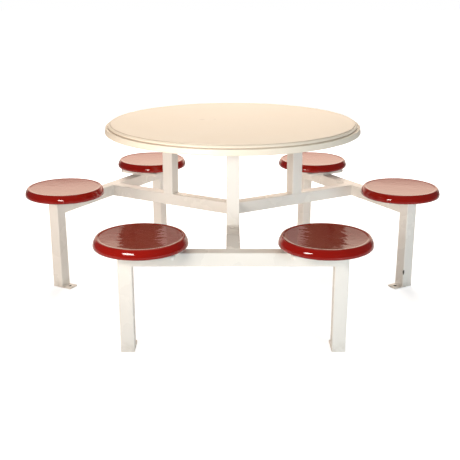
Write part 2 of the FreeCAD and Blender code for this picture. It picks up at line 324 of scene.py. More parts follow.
# specks: small dark dots in a share of the cells of a moulded skin
speckLook = {"share": (0.72, 0.75)}
speck, given, result = newGroup("specks", {"Place": "Vector", "Scale": "Float", "Size": "Float"},
                                {"Mask": "Float"})
cells = put(speck, "TexVoronoi", {"Vector": given["Place"], "Scale": given["Scale"]}).outputs
chance = put(speck, "TexWhiteNoise", {"Vector": cells["Position"]}).outputs["Value"]
dot = ramp(speck, cells["Distance"], given["Size"], 0.0)
feed(speck, result, {"Mask": maths(speck, "MULTIPLY", dot, ramp(speck, chance, *speckLook["share"]))})

# glass fibre: the rough back of a moulding, three crossed sets of stretched strands under resin
fibreLook = {"sets": ((0.5, (1.0, 9.0, 1.0)), (2.0, (1.0, 9.0, 1.0)), (2.9, (1.0, 6.0, 1.0))),
             "strands": 45.0, "strandBand": (0.45, 0.75), "resin": 16.0, "resinBand": (0.3, 0.7, 0.5, 1.0),
             "detail": 3.0}
fibre, given, result = newGroup("glassFibre", {"Place": "Vector", "Pale": "Color", "Dark": "Color"},
                                {"Colour": "Color", "Height": "Float"})
strands = 0.0
for turn, stretch in fibreLook["sets"]:
    laid = stretched(fibre, given["Place"], stretch, turn)
    threads = noise(fibre, laid, fibreLook["strands"], fibreLook["detail"])
    strands = maths(fibre, "MAXIMUM", strands, threads)
resin = noise(fibre, given["Place"], fibreLook["resin"], fibreLook["detail"])
mixed = maths(fibre, "MULTIPLY", ramp(fibre, strands, *fibreLook["strandBand"]),
              ramp(fibre, resin, *fibreLook["resinBand"]))
feed(fibre, result, {"Colour": blendColour(fibre, mixed, given["Dark"], given["Pale"]), "Height": mixed})

# blemish: one ragged blob round a point, stretched by its reach along each axis
blemishLook = {"ragged": 220.0, "detail": 3.0, "band": (1.45, 1.25)}
blemish, given, result = newGroup("blemish", {"Place": "Vector", "At": "Vector", "Reach": "Vector"},
                                  {"Mask": "Float"})
aside = put(blemish, "VectorMath", {0: given["Place"], 1: given["At"]}, operation="SUBTRACT").outputs[0]
aside = put(blemish, "VectorMath", {0: aside, 1: given["Reach"]}, operation="DIVIDE").outputs[0]
off = put(blemish, "VectorMath", {0: aside}, operation="LENGTH").outputs["Value"]
ragged = noise(blemish, given["Place"], blemishLook["ragged"], blemishLook["detail"])
feed(blemish, result, {"Mask": ramp(blemish, maths(blemish, "ADD", off, ragged), *blemishLook["band"])})
print("shared effects ready")

# ivory powder coat on the welded frame, with grime low down, one chip down to bare steel on a corner of the
# right middle leg, and the walls of the drilled holes painted near black as painted shade inside the holes
paintLook = {
    "colour": (0.96, 0.915, 0.85, 1), "warm": (0.945, 0.885, 0.80, 1), "clouds": 5.0, "cloudDetail": 4.0,
    "cloudBand": (0.2, 0.8), "rough": (0.22, 0.32), "bareRough": 0.6, "worn": (0.55, 0.50, 0.43, 1),
    "rubReach": 0.3, "rubShare": 0.3, "grime": (0.50, 0.42, 0.33, 1), "grimeHeight": (0.045, 0.004),
    "smudges": 30.0, "smudgeDetail": 5.0, "smudgeBand": (0.35, 0.7, 0.0, 0.55),
    "chipAndHoleShade": (0.075, 0.068, 0.052, 1), "chipAt": (0.745, -0.019, 0.072), "chipReach": (0.006, 0.006, 0.013),
    "peelFine": 700.0, "peelBroad": 90.0, "peelHeight": 0.00008, "peelStrength": 0.3,
}
ivoryPaint, tree, shader, coords = newFinish("ivoryPaint")
cloud = noise(tree, coords, paintLook["clouds"], paintLook["cloudDetail"])
tone = blendColour(tree, ramp(tree, cloud, *paintLook["cloudBand"]), paintLook["colour"], paintLook["warm"])
rubbed = use(tree, rub, Place=coords, Edge=mark(tree, "edge"), Reach=paintLook["rubReach"])["Mask"]
tone = blendColour(tree, maths(tree, "MULTIPLY", rubbed, paintLook["rubShare"]), tone, paintLook["worn"])
height = put(tree, "SeparateXYZ", {0: coords}).outputs["Z"]
smudge = noise(tree, coords, paintLook["smudges"], paintLook["smudgeDetail"])
lowDown = maths(tree, "MULTIPLY", ramp(tree, height, *paintLook["grimeHeight"]),
                ramp(tree, smudge, *paintLook["smudgeBand"]))
tone = blendColour(tree, lowDown, tone, paintLook["grime"])
chipped = use(tree, blemish, Place=coords, At=paintLook["chipAt"], Reach=paintLook["chipReach"])["Mask"]
# painted shade: the drilled hole walls take the near-black chip colour, so they look like the shade inside
# the holes
chipAndHoleShade = maths(tree, "MAXIMUM", chipped, mark(tree, "recess"))
rough = ramp(tree, cloud, *paintLook["cloudBand"], *paintLook["rough"])
skin = use(tree, peel, Place=coords, Fine=paintLook["peelFine"], Broad=paintLook["peelBroad"])["Height"]
feed(tree, shader, {
    "Base Color": blendColour(tree, chipAndHoleShade, tone, paintLook["chipAndHoleShade"]),
    "Roughness": maths(tree, "MAXIMUM", rough, maths(tree, "MULTIPLY", chipAndHoleShade, paintLook["bareRough"])),
    "Normal": bumped(tree, skin, paintLook["peelHeight"], paintLook["peelStrength"]),
})

# what both gel coats share: bare glass fibre where the raw mark is set
fibreBack = {"rough": 0.75, "height": 0.0008, "strength": 0.8}


def dressGelcoat(tree, shader, coords, look, tone):
    # the gloss has hair scratches and smears, and the skin is wavy; returns the normal
    raw = mark(tree, "raw")
    back = use(tree, fibre, Place=coords, Pale=look["rawPale"], Dark=look["rawDark"])
    marks = use(tree, hair, Place=coords, Scale=look["scratches"], Width=look["scratchWidth"])["Mask"]
    smear = noise(tree, coords, look["smears"], look["smearDetail"])
    rough = maths(tree, "ADD", ramp(tree, smear, *look["smearBand"], *look["rough"]),
                  maths(tree, "MULTIPLY", marks, look["scratchRough"]))
    skin = use(tree, peel, Place=coords, Fine=look["peelFine"], Broad=look["peelBroad"])["Height"]
    wavy = bumped(tree, skin, look["peelHeight"], look["peelStrength"])
    strandy = maths(tree, "MULTIPLY", back["Height"], raw)
    normal = bumped(tree, strandy, fibreBack["height"], fibreBack["strength"], Normal=wavy)
    feed(tree, shader, {
        "Base Color": blendColour(tree, raw, tone, back["Colour"]),
        "Roughness": maths(tree, "MAXIMUM", rough, maths(tree, "MULTIPLY", raw, fibreBack["rough"])),
        "Normal": normal,
    })
    return normal


# cream gel coat of the table top, with dirt and painted shade in its two grooves, and two faint scuffs
creamLook = {
    "colour": (0.95, 0.845, 0.70, 1), "warm": (0.945, 0.83, 0.675, 1), "clouds": 2.2, "cloudDetail": 2.0,
    "cloudBand": (0.35, 0.65), "speck": (0.20, 0.13, 0.09, 1), "specks": 13.0, "speckSize": 0.022,
    "groove": (0.40, 0.28, 0.19, 1), "grooveShare": 0.7, "scuffShare": 0.22,
    "scuffs": (((-0.128, 0.053, topHigh.z), (0.013, 0.012, 0.01)),
               ((-0.075, 0.058, topHigh.z), (0.006, 0.010, 0.01))),
    "rawPale": (0.42, 0.31, 0.20, 1), "rawDark": (0.27, 0.19, 0.12, 1), "rough": (0.36, 0.42),
    "smears": 11.0, "smearDetail": 3.0, "smearBand": (0.3, 0.7),
    "scratches": 9.0, "scratchWidth": 0.003, "scratchRough": 0.08,
    "peelFine": 260.0, "peelBroad": 24.0, "peelHeight": 0.00006, "peelStrength": 0.03,
}
creamGelcoat, tree, shader, coords = newFinish("creamGelcoat")
cloud = noise(tree, coords, creamLook["clouds"], creamLook["cloudDetail"])
tone = blendColour(tree, ramp(tree, cloud, *creamLook["cloudBand"]), creamLook["colour"], creamLook["warm"])
dots = use(tree, speck, Place=coords, Scale=creamLook["specks"], Size=creamLook["speckSize"])["Mask"]
tone = blendColour(tree, dots, tone, creamLook["speck"])
for at, reach in creamLook["scuffs"]:
    scuff = use(tree, blemish, Place=coords, At=at, Reach=reach)["Mask"]
    faint = maths(tree, "MULTIPLY", scuff, creamLook["scuffShare"])
    tone = blendColour(tree, faint, tone, creamLook["groove"])
# painted shade: the step and the shadow gap are darkened, partly as dirt and partly as the shade that falls
# there
grooveDirtAndShade = maths(tree, "MULTIPLY", mark(tree, "recess"), creamLook["grooveShare"])
tone = blendColour(tree, grooveDirtAndShade, tone, creamLook["groove"])
dressGelcoat(tree, shader, coords, creamLook, tone)

# red gel coat of the seats under a clear gloss, rubbed pale along the crest, which also paints a highlight
# line there
redLook = {
    "colour": (0.31, 0.006, 0.002, 1), "deep": (0.275, 0.005, 0.002, 1), "clouds": 7.0, "cloudDetail": 4.0,
    "speck": (0.12, 0.01, 0.01, 1), "specks": 40.0, "speckSize": 0.03,
    "scuff": (0.62, 0.20, 0.12, 1), "scuffHighlightEdge": (0.3, 0.9), "scuffHighlightBand": (0.25, 0.6, 0.25, 0.7),
    "rawPale": (0.24, 0.05, 0.035, 1), "rawDark": (0.12, 0.025, 0.02, 1), "rough": (0.04, 0.09),
    "smears": 18.0, "smearDetail": 3.0, "smearBand": (0.3, 0.7),
    "scratches": 16.0, "scratchWidth": 0.004, "scratchRough": 0.08,
    "peelFine": 42.0, "peelBroad": 17.0, "peelHeight": 0.0004, "peelStrength": 0.5,
    "specular": 0.12, "coat": 1.0, "coatRough": 0.03,
}
redGelcoat, tree, shader, coords = newFinish("redGelcoat")
cloud = noise(tree, coords, redLook["clouds"], redLook["cloudDetail"])
tone = blendColour(tree, cloud, redLook["colour"], redLook["deep"])
dots = use(tree, speck, Place=coords, Scale=redLook["specks"], Size=redLook["speckSize"])["Mask"]
tone = blendColour(tree, dots, tone, redLook["speck"])
# painted highlight: a pale salmon line along the crest, partly rubbed wear and partly the crest's highlight
scuffedAndHighlit = maths(tree, "MULTIPLY", ramp(tree, mark(tree, "edge"), *redLook["scuffHighlightEdge"]),
                ramp(tree, cloud, *redLook["scuffHighlightBand"]))
tone = blendColour(tree, scuffedAndHighlit, tone, redLook["scuff"])
normal = dressGelcoat(tree, shader, coords, redLook, tone)
feed(tree, shader, {"Specular IOR Level": redLook["specular"], "Coat Weight": redLook["coat"],
                    "Coat Roughness": redLook["coatRough"], "Coat Normal": normal})

# plywood of the core: a figure stretched along the grain, broken by pores
plyLook = {"pale": (0.36, 0.25, 0.155, 1), "dark": (0.20, 0.13, 0.075, 1), "grain": (1.0, 14.0, 3.0),
           "figure": 7.0, "figureDetail": 8.0, "wander": 0.6, "pores": 60.0, "poreDetail": 3.0,
           "poreBand": (0.3, 0.6, 0.8, 1.1), "colourBand": (0.3, 0.65), "roughBand": (0.3, 0.7, 0.75, 0.55),
           "height": 0.0003, "strength": 0.4}
plyBoard, tree, shader, coords = newFinish("plyBoard")
along = stretched(tree, coords, plyLook["grain"])
figure = noise(tree, along, plyLook["figure"], plyLook["figureDetail"], Distortion=plyLook["wander"])
pores = noise(tree, along, plyLook["pores"], plyLook["poreDetail"])
grain = maths(tree, "MULTIPLY", figure, ramp(tree, pores, *plyLook["poreBand"]))
shade = ramp(tree, grain, *plyLook["colourBand"])
feed(tree, shader, {
    "Base Color": blendColour(tree, shade, plyLook["dark"], plyLook["pale"]),
    "Roughness": ramp(tree, grain, *plyLook["roughBand"]),
    "Normal": bumped(tree, grain, plyLook["height"], plyLook["strength"]),
})

# turned and plated steel: fine rings of tool marks and a cloudy dulling
metalLook = {"clouds": 60.0, "cloudDetail": 5.0, "cloudBand": (0.35, 0.7), "ringDetail": 3.0,
             "ringBand": (0.3, 0.7), "height": 0.0001, "strength": 0.3}
steelLook = {"bright": (0.60, 0.60, 0.61, 1), "dull": (0.42, 0.41, 0.40, 1), "rough": (0.22, 0.42),
             "rings": (40.0, 40.0, 1800.0)}
zincLook = {"bright": (0.68, 0.68, 0.66, 1), "dull": (0.52, 0.53, 0.55, 1), "rough": (0.28, 0.5),
            "rings": (40.0, 40.0, 300.0)}


def metalFinish(name, look):
    # the rings are noise drawn thin along Z
    finish, tree, shader, coords = newFinish(name)
    cloud = noise(tree, coords, metalLook["clouds"], metalLook["cloudDetail"])
    dulled = ramp(tree, cloud, *metalLook["cloudBand"])
    rings = noise(tree, stretched(tree, coords, look["rings"]), 1.0, metalLook["ringDetail"])
    feed(tree, shader, {
        "Base Color": blendColour(tree, dulled, look["bright"], look["dull"]),
        "Roughness": ramp(tree, rings, *metalLook["ringBand"], *look["rough"]),
        "Normal": bumped(tree, rings, metalLook["height"], metalLook["strength"]),
        "Metallic": 1.0,
    })
    return finish


turnedSteel = metalFinish("turnedSteel", steelLook)
zincCoat = metalFinish("zincCoat", zincLook)

# natural nylon of the bushes and washers
nylonLook = {"pale": (0.86, 0.85, 0.79, 1), "dull": (0.76, 0.74, 0.66, 1), "clouds": 90.0,
             "cloudDetail": 4.0, "roughBand": (0.3, 0.7, 0.38, 0.55)}
naturalNylon, tree, shader, coords = newFinish("naturalNylon")
cloud = noise(tree, coords, nylonLook["clouds"], nylonLook["cloudDetail"])
feed(tree, shader, {"Base Color": blendColour(tree, cloud, nylonLook["pale"], nylonLook["dull"]),
                    "Roughness": ramp(tree, cloud, *nylonLook["roughBand"])})
print("finishes ready")

# the frame's nodes keep their own meshes and take these finishes
for name, node in nodes.items():
    finish = ivoryPaint
    if name == "top_core":
        finish = plyBoard
    elif name == "table_top":
        finish = creamGelcoat
    elif "screws" in name:
        finish = zincCoat
    elif name.startswith("hub_bush") or name == "thrust_washers":
        finish = naturalNylon
    elif name.startswith("seat_hub") or name in ("spindles", "retaining_rings"):
        finish = turnedSteel
    elif name in ["seat_" + place for place in places]:
        finish = redGelcoat
    node.data.materials.clear()
    node.data.materials.append(finish)


def upright(profile, centre, turns):
    # a (radius, height) profile carried once round an upright axis, from the axis back to the axis
    middles = np.zeros((len(profile), 3))
    middles[:, 0], middles[:, 1], middles[:, 2] = centre[0], centre[1], profile[:, 1]
    return outward(roundShape(middles, profile[:, 0], (1, 0, 0), (0, 1, 0), turns))


def carried(values, turns):
    # a profile's values carried round with it; the two points on the axis get none
    return np.concatenate([np.repeat(values[1:-1], turns), [0, 0]])


def nearTo(profile, spots, spread):
    # 1 at these spots of a profile, falling to 0 at the spread
    gap = np.linalg.norm(profile[:, None] - np.asarray(spots)[None], axis=2).min(1)
    return np.clip(1 - gap / spread, 0, 1)


def pastSpot(profile, spot):
    # 1 on the part of a profile that comes after the point nearest to a spot
    nearest = np.argmin(np.linalg.norm(profile - spot, axis=1))
    return (np.arange(len(profile)) > nearest).astype(float)


# table top: flat disc, small step, bead, shadow gap, ledge and a flaring rim, as one profile turned
# round the axis
topSizes = {
    "radius": (topHigh.x - topLow.x) / 2, "skin": 4 * mm, "draft": 3.5 * mm, "ledge": 11 * mm,
    "bead": 9 * mm, "beadDrop": 8.4 * mm, "step": 2.2 * mm, "stepLean": 0.3 * mm, "gapHeight": 3 * mm,
    "gapDepth": 4 * mm, "gapLean": 0.2 * mm, "gapRound": 0.6 * mm, "rimWall": 6 * mm,
    "edgeRound": 2.5 * mm, "discRound": 0.9 * mm, "footRound": 1.2 * mm,
    "innerRounds": (3 * mm, 4 * mm, 5 * mm), "wearSpread": 3 * mm, "wearIn": 1 * mm,
    "dirtShadeSpread": 2 * mm, "dirtShadeRise": 0.9 * mm, "dirtShadeIn": 1 * mm, "beadSteps": 17, "discSteps": 5,
    "rimSteps": 7, "turns": 288, "gap": 14 * mm, "sharp": 60,
}
topR, topZ, rimZ, rimWall = topSizes["radius"], topHigh.z, topLow.z, topSizes["rimWall"]
ledgeR = topR - topSizes["draft"]
beadOut = ledgeR - topSizes["ledge"]
beadIn = beadOut - topSizes["bead"]
gapIn = beadOut - topSizes["gapDepth"]
stepZ = topZ - topSizes["step"]
beadLow = stepZ - topSizes["beadDrop"]
ledgeZ = beadLow - topSizes["gapHeight"]
skinZ = topZ - topSizes["skin"]
# the bead is a quarter of an ellipse
swing = np.linspace(0, math.pi / 2, topSizes["beadSteps"])
bead = np.stack([beadIn + topSizes["bead"] * np.sin(swing),
                 beadLow + topSizes["beadDrop"] * np.cos(swing)], -1)
disc = softened([
    (0, topZ, 0),
    (beadIn - topSizes["stepLean"], topZ, topSizes["discRound"]),
    (*bead[0], 0),
], topSizes["discSteps"])
ledgeRound, ribRound, skinRound = topSizes["innerRounds"]
rim = softened([
    (*bead[-1], 0),
    (gapIn, beadLow - topSizes["gapLean"], topSizes["gapRound"]),
    (gapIn, ledgeZ, topSizes["gapRound"]),
    (ledgeR, ledgeZ, topSizes["edgeRound"]),
    (topR, rimZ, topSizes["edgeRound"]),
    (topR - rimWall, rimZ, topSizes["footRound"]),
    (ledgeR - rimWall, ledgeZ - 2 * rimWall, ledgeRound),
    (gapIn - rimWall, ledgeZ - rimWall, ribRound),
    (beadIn - topSizes["skin"], skinZ, skinRound),
    (0, skinZ, 0),
], topSizes["rimSteps"])
profile = filled(np.concatenate([disc, bead[1:-1], rim]), topSizes["gap"])
inset = topSizes["wearIn"]
wear = nearTo(profile, [(beadIn, topZ), (ledgeR - inset, ledgeZ - inset), (topR - inset, rimZ + inset)],
              topSizes["wearSpread"])
# painted shade: the step face, the shadow gap and the bead's foot get a dark mark, partly dirt and partly
# shade
grooveDirtAndShadeSpots = nearTo(profile, [(beadIn, stepZ), (beadIn, stepZ + topSizes["dirtShadeRise"]), (gapIn, beadLow),
                        (gapIn, ledgeZ), (beadOut - topSizes["dirtShadeIn"], beadLow)], topSizes["dirtShadeSpread"])
under = pastSpot(profile, (topR - rimWall, rimZ))
turns = topSizes["turns"]
makePiece("tableTop", upright(profile, (axisX, axisY), turns), creamGelcoat, "top_gelcoat",
          stands=["table_top"], edge=carried(wear, turns), recess=carried(grooveDirtAndShadeSpots, turns),
          raw=carried(under, turns), sharp=topSizes["sharp"])

# board core: a disc with its lower edge chamfered
coreLow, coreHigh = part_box("top_core")
coreSizes = {"radius": (coreHigh.x - coreLow.x) / 2, "chamfer": 4 * mm, "upperRound": 0.3 * mm,
             "lowerRound": 0.8 * mm, "roundSteps": 4, "turns": 240, "gap": 30 * mm}
coreR, chamfer = coreSizes["radius"], coreSizes["chamfer"]
profile = filled(softened([
    (0, coreHigh.z, 0),
    (coreR, coreHigh.z, coreSizes["upperRound"]),
    (coreR, coreLow.z + chamfer, coreSizes["lowerRound"]),
    (coreR - chamfer, coreLow.z, coreSizes["lowerRound"]),
    (0, coreLow.z, 0),
], coreSizes["roundSteps"]), coreSizes["gap"])
makePiece("boardCore", upright(profile, (axisX, axisY), coreSizes["turns"]), plyBoard, "board",
          stands=["top_core"])
print("top built")

# seats: a shallow dish with a low lip, a rolled crest, a side that swells to a belly and tucks under,
# and a pad over the hub
seatSizes = {
    "dish": 2.3 * mm, "lip": 1.2 * mm, "lipWidth": 8 * mm, "crest": 5.5 * mm, "crestDrop": 4.2 * mm,
    "belly": 6.5 * mm, "swell": 36 * mm, "tuck": 7 * mm, "rimWall": 13 * mm, "skin": 4.6 * mm,
    "draft": 4 * mm, "pad": 65 * mm, "pocket": 23.05 * mm, "flange": 1.5 * mm, "rimRound": 1 * mm,
    "hollowRound": 5 * mm, "padRound": 2 * mm, "mouthRound": 0.5 * mm, "pocketRound": 1 * mm,
    "wearIn": 4 * mm, "wearSpread": 3 * mm, "dishSteps": 30, "lipSteps": 12, "crestSteps": 9,
    "sideSteps": 15, "tuckSteps": 10, "hollowSteps": 7, "turns": 192, "gap": 5 * mm, "sharp": 40,
}
for place in places:
    low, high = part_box("seat_" + place)
    seatR = (high.x - low.x) / 2
    centre = ((low.x + high.x) / 2, (low.y + high.y) / 2)
    # the side is a parabola whose radius of curvature at the belly is the swell
    belly = low.z + seatSizes["belly"]
    rise = np.linspace(high.z - belly - seatSizes["crestDrop"], 0, seatSizes["sideSteps"])
    side = np.stack([seatR - rise ** 2 / (2 * seatSizes["swell"]), belly + rise], -1)
    slope = -rise[0] / seatSizes["swell"]
    crestR = side[0, 0] + slope * (high.z - side[0, 1])
    # the dish is a parabola up to the lip, and the lip a smooth step
    lipOut = crestR - seatSizes["crest"]
    lipIn = lipOut - seatSizes["lipWidth"]
    across = np.concatenate([np.linspace(0, lipIn, seatSizes["dishSteps"]),
                             np.linspace(lipIn, lipOut, seatSizes["lipSteps"])[1:]])
    step = np.clip((across - lipIn) / seatSizes["lipWidth"], 0, 1)
    middle = high.z - seatSizes["dish"] - seatSizes["lip"]
    bowl = seatSizes["dish"] * np.clip(across / lipIn, 0, 1) ** 2
    dish = np.stack([across, middle + bowl + seatSizes["lip"] * step ** 2 * (3 - 2 * step)], -1)
    crest = softened([
        (*dish[-1], 0),
        (crestR, high.z, seatSizes["crest"]),
        (*side[0], 0),
    ], seatSizes["crestSteps"])
    # the tuck is a quarter of an ellipse
    swing = np.linspace(0, math.pi / 2, seatSizes["tuckSteps"])[1:]
    tuck = np.stack([seatR - seatSizes["tuck"] * (1 - np.cos(swing)),
                     belly - seatSizes["belly"] * np.sin(swing)], -1)
    pocketZ = middle - seatSizes["skin"]
    flangeZ = low.z + seatSizes["flange"]
    inner = seatR - seatSizes["rimWall"]
    hollow = softened([
        (*tuck[-1], 0),
        (inner, low.z, seatSizes["rimRound"]),
        (inner - seatSizes["draft"], pocketZ, seatSizes["hollowRound"]),
        (seatSizes["pad"] + seatSizes["draft"], pocketZ, seatSizes["hollowRound"]),
        (seatSizes["pad"], flangeZ, seatSizes["padRound"]),
        (seatSizes["pocket"], flangeZ, seatSizes["mouthRound"]),
        (seatSizes["pocket"], pocketZ, seatSizes["pocketRound"]),
        (0, pocketZ, 0),
    ], seatSizes["hollowSteps"])
    profile = filled(np.concatenate([dish[:-1], crest[:-1], side, tuck, hollow[1:]]), seatSizes["gap"])
    # this crest wear mark also places the painted highlight line of the red gel coat
    wear = nearTo(profile, [(crestR - seatSizes["wearIn"], high.z)], seatSizes["wearSpread"])
    under = pastSpot(profile, (inner, low.z))
    turns = seatSizes["turns"]
    makePiece("seatShell_" + place, upright(profile, centre, turns), redGelcoat, "seat_gelcoat",
              body="swivel_" + place, stands=["seat_" + place], edge=carried(wear, turns),
              raw=carried(under, turns), sharp=seatSizes["sharp"])
print("seats built")

# frame of square tube: a rounded square carried from one cut to the other, out along its outside and
# back inside
tubeSizes = {"corner": 3 * mm, "wall": 2 * mm, "innerCorner": 1 * mm, "arcSteps": 7, "arcWear": (0.15, 0.85),
             "flatsAt": (0.1, 0.5, 0.9)}
arcWear = np.sin(np.linspace(*tubeSizes["arcWear"], tubeSizes["arcSteps"]) * math.pi)


def tubeOutline(side, corner):
    # four corner arcs, each followed by a few points on the flat after it; only the arcs wear
    half = side / 2
    steps, flatsAt = tubeSizes["arcSteps"], np.array(tubeSizes["flatsAt"])
    arcs = rounded([(-half, -half), (half, -half), (half, half), (-half, half)], corner, steps)
    arcs = arcs.reshape(4, steps, 2)
    gap = np.roll(arcs, -1, 0)[:, :1] - arcs[:, -1:]
    flats = arcs[:, -1:] + gap * flatsAt[None, :, None]
    wear = np.concatenate([np.tile(arcWear, (4, 1)), np.zeros((4, len(flatsAt)))], 1)
    return np.concatenate([arcs, flats], 1).reshape(-1, 2), wear.ravel()


def tubeShape(origin, along, across, lift, startAt, finishAt, arm):
    # startAt and finishAt give the place of the cut along the tube for each point of the outline
    origin, along, across, lift = (np.asarray(part) for part in (origin, along, across, lift))
    outer, wear = tubeOutline(tubeSide, tubeSizes["corner"])
    inner = tubeOutline(tubeSide - 2 * tubeSizes["wall"], tubeSizes["innerCorner"])[0]
    rows = []
    for line, cut in ((outer, startAt), (outer, finishAt), (inner, finishAt), (inner, startAt)):
        run = cut(line[:, 0], line[:, 1])[:, None] * along
        rows.append(origin + run + line[:, :1] * across + line[:, 1:] * lift)
    return outward(ringShape(onArm(np.stack(rows), arm))), np.concatenate([wear, wear, 0 * wear, 0 * wear])


def level(height):
    # a square cut: the same height at every point of the outline
    return lambda across, lift: np.full(len(across), height)


def makeTube(name, stands, arm, *tube):
    # tube holds what tubeShape asks for before the arm
    shape, wear = tubeShape(*tube, arm)
    makePiece(name, shape, ivoryPaint, "frame_paint", stands=[stands], edge=wear)


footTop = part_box("floor_plate_front_left")[1].z
beamMiddle = (frameTop + frameLow) / 2
legReach = beamHalf - halfTube
cutBack = math.radians(30)  # both halves of a radial beam's end lean back by this, where the three meet
rightward, backward, forward, upward = (1, 0, 0), (0, 1, 0), (0, -1, 0), (0, 0, 1)
for arm in arms:
    makeTube("postTube_" + arm, "post_" + arm, arm, (0, -postReach, 0), upward, rightward, backward,
             level(frameTop), level(postTop))
    makeTube("radialTube_" + arm, "radial_beam_" + arm, arm, (0, 0, beamMiddle), forward, rightward, upward,
             lambda across, lift: np.abs(across) * math.tan(cutBack), level(beamReach - halfTube))
    makeTube("crossTube_" + arm, "cross_beam_" + arm, arm, (0, -beamReach, beamMiddle), rightward, backward,
             upward, lambda across, lift: -legReach - lift, lambda across, lift: legReach + lift)
for place, (arm, end) in places.items():
    makeTube("legTube_" + place, "leg_" + place, arm, (end * legReach, -beamReach, 0), upward, rightward,
             backward, level(footTop), lambda across, lift: frameTop - halfTube + end * across)
print("tubes built")

plateSizes = {"outlineGap": 3 * mm}  # the longest step along a plate's outline


def drilledShape(outline, hole, radius, stations, arm):
    # rows of points round a drilled plate: a station is at the outline or at the hole's wall, set in by a
    # distance along the spoke from the hole, at a height, with its wear; the rows close on themselves
    hole = np.asarray(hole)
    loop = filled(np.concatenate([outline, outline[:1]]), plateSizes["outlineGap"])[:-1]
    spoke = unit(loop - hole)
    rows = []
    for atHole, inset, height, worn in stations:
        flat = hole + spoke * (radius + inset) if atHole else loop - spoke * inset
        rows.append(np.concatenate([flat, np.full((len(flat), 1), height)], 1))
    wear = np.repeat([worn for atHole, inset, height, worn in stations], len(loop))
    # the hole walls are marked here so that the paint darkens them as painted shade
    wall = np.repeat([float(atHole and inset == 0) for atHole, inset, height, worn in stations], len(loop))
    return outward(ringShape(onArm(np.stack(rows), arm))), wear, wall


# foot plates: flush under the leg, with a drilled tab towards the table's axis
footSizes = {"tab": 42 * mm, "tabCorner": 6 * mm, "corner": 1 * mm, "hole": 6.5 * mm, "bevel": 0.6 * mm,
             "edgeBand": 4 * mm, "holeBand": 3 * mm, "roundSteps": 7}
bevel = footSizes["bevel"]
footStations = [
    (0, 0, bevel, 1), (0, 0, footTop / 2, 0.3), (0, 0, footTop - bevel, 1),
    (0, bevel, footTop, 1), (0, footSizes["edgeBand"], footTop, 0),
    (1, footSizes["holeBand"], footTop, 0), (1, bevel, footTop, 1),
    (1, 0, footTop - bevel, 1), (1, 0, bevel, 0.3), (1, bevel, 0, 0), (0, bevel, 0, 0),
]
for place, (arm, end) in places.items():
    left, right = end * legReach - halfTube, end * legReach + halfTube
    outer = -beamReach - halfTube
    tabEnd = outer + tubeSide + footSizes["tab"]
    rounds = [footSizes["corner"]] * 2 + [footSizes["tabCorner"]] * 2
    outline = rounded([(left, outer), (right, outer), (right, tabEnd), (left, tabEnd)], rounds,
                      footSizes["roundSteps"])
    hole = (end * legReach, tabEnd - footSizes["tab"] / 2)
    shape, wear, wall = drilledShape(outline, hole, footSizes["hole"], footStations, arm)
    makePiece("footPlate_" + place, shape, ivoryPaint, "frame_paint", stands=["floor_plate_" + place],
              edge=wear, recess=wall)

# seat carriers: shallow pressed trays, upside down on the cross beam, with a bent edge and a hole for
# the spindle
trayLow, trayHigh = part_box("seat_carrier_front_right")
seatLow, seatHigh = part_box("seat_front_right")
traySizes = {"corner": 13 * mm, "sheet": 3 * mm, "bend": 4.5 * mm, "hole": 12.7 * mm, "skirtBand": 4 * mm,
             "edgeBand": 12 * mm, "holeBand": 4 * mm, "holeBevel": 0.5 * mm, "roundSteps": 9, "bendSteps": 6}
bend, sheet = traySizes["bend"], traySizes["sheet"]
innerBend = bend - sheet
bendZ = trayHigh.z - bend
holeBevel = traySizes["holeBevel"]
swing = np.linspace(0, math.pi / 2, traySizes["bendSteps"])
outBend = [(0, bend * (1 - math.cos(turn)), bendZ + bend * math.sin(turn), 0.9) for turn in swing]
inBend = [(0, sheet + innerBend * (1 - math.cos(turn)), bendZ + innerBend * math.sin(turn), 0)
          for turn in swing[::-1]]
trayStations = [
    (0, 0, trayLow.z, 0.8), (0, 0, trayLow.z + traySizes["skirtBand"], 0), *outBend,
    (0, traySizes["edgeBand"], trayHigh.z, 0), (1, traySizes["holeBand"], trayHigh.z, 0),
    (1, holeBevel, trayHigh.z, 0.5), (1, 0, trayHigh.z - holeBevel, 0.5), (1, 0, trayHigh.z - sheet, 0),
    *inBend, (0, sheet, trayLow.z, 0.5),
]
for place, (arm, end) in places.items():
    left, right = sorted((end * (trayLow.x - axisX), end * (trayHigh.x - axisX)))
    outer, inner = trayLow.y - axisY, trayHigh.y - axisY
    outline = rounded([(left, outer), (right, outer), (right, inner), (left, inner)], traySizes["corner"],
                      traySizes["roundSteps"])
    hole = (end * ((seatLow.x + seatHigh.x) / 2 - axisX), -beamReach)
    shape, wear, wall = drilledShape(outline, hole, traySizes["hole"], trayStations, arm)
    makePiece("carrierTray_" + place, shape, ivoryPaint, "frame_paint", stands=["seat_carrier_" + place],
              edge=wear, recess=wall)
print("plates built")

# weld beads: round rods whose radius ripples along the run and thins out at both ends
weldSizes = {
    "post": 3.2 * mm, "corner": 3.6 * mm, "leg": 5.0 * mm, "foot": 3.4 * mm, "tray": 2.6 * mm,
    "setIn": 3 * mm, "endGap": 1 * mm, "pitch": 2.6 * mm, "ripple": 0.14, "wander": 0.10, "wanderRate": 130,
    "phase": 6.28, "endPower": 14, "step": 0.65 * mm, "fewest": 12, "turns": 10, "seed": 7, "sharp": 60,
}
draw = np.random.default_rng(weldSizes["seed"])


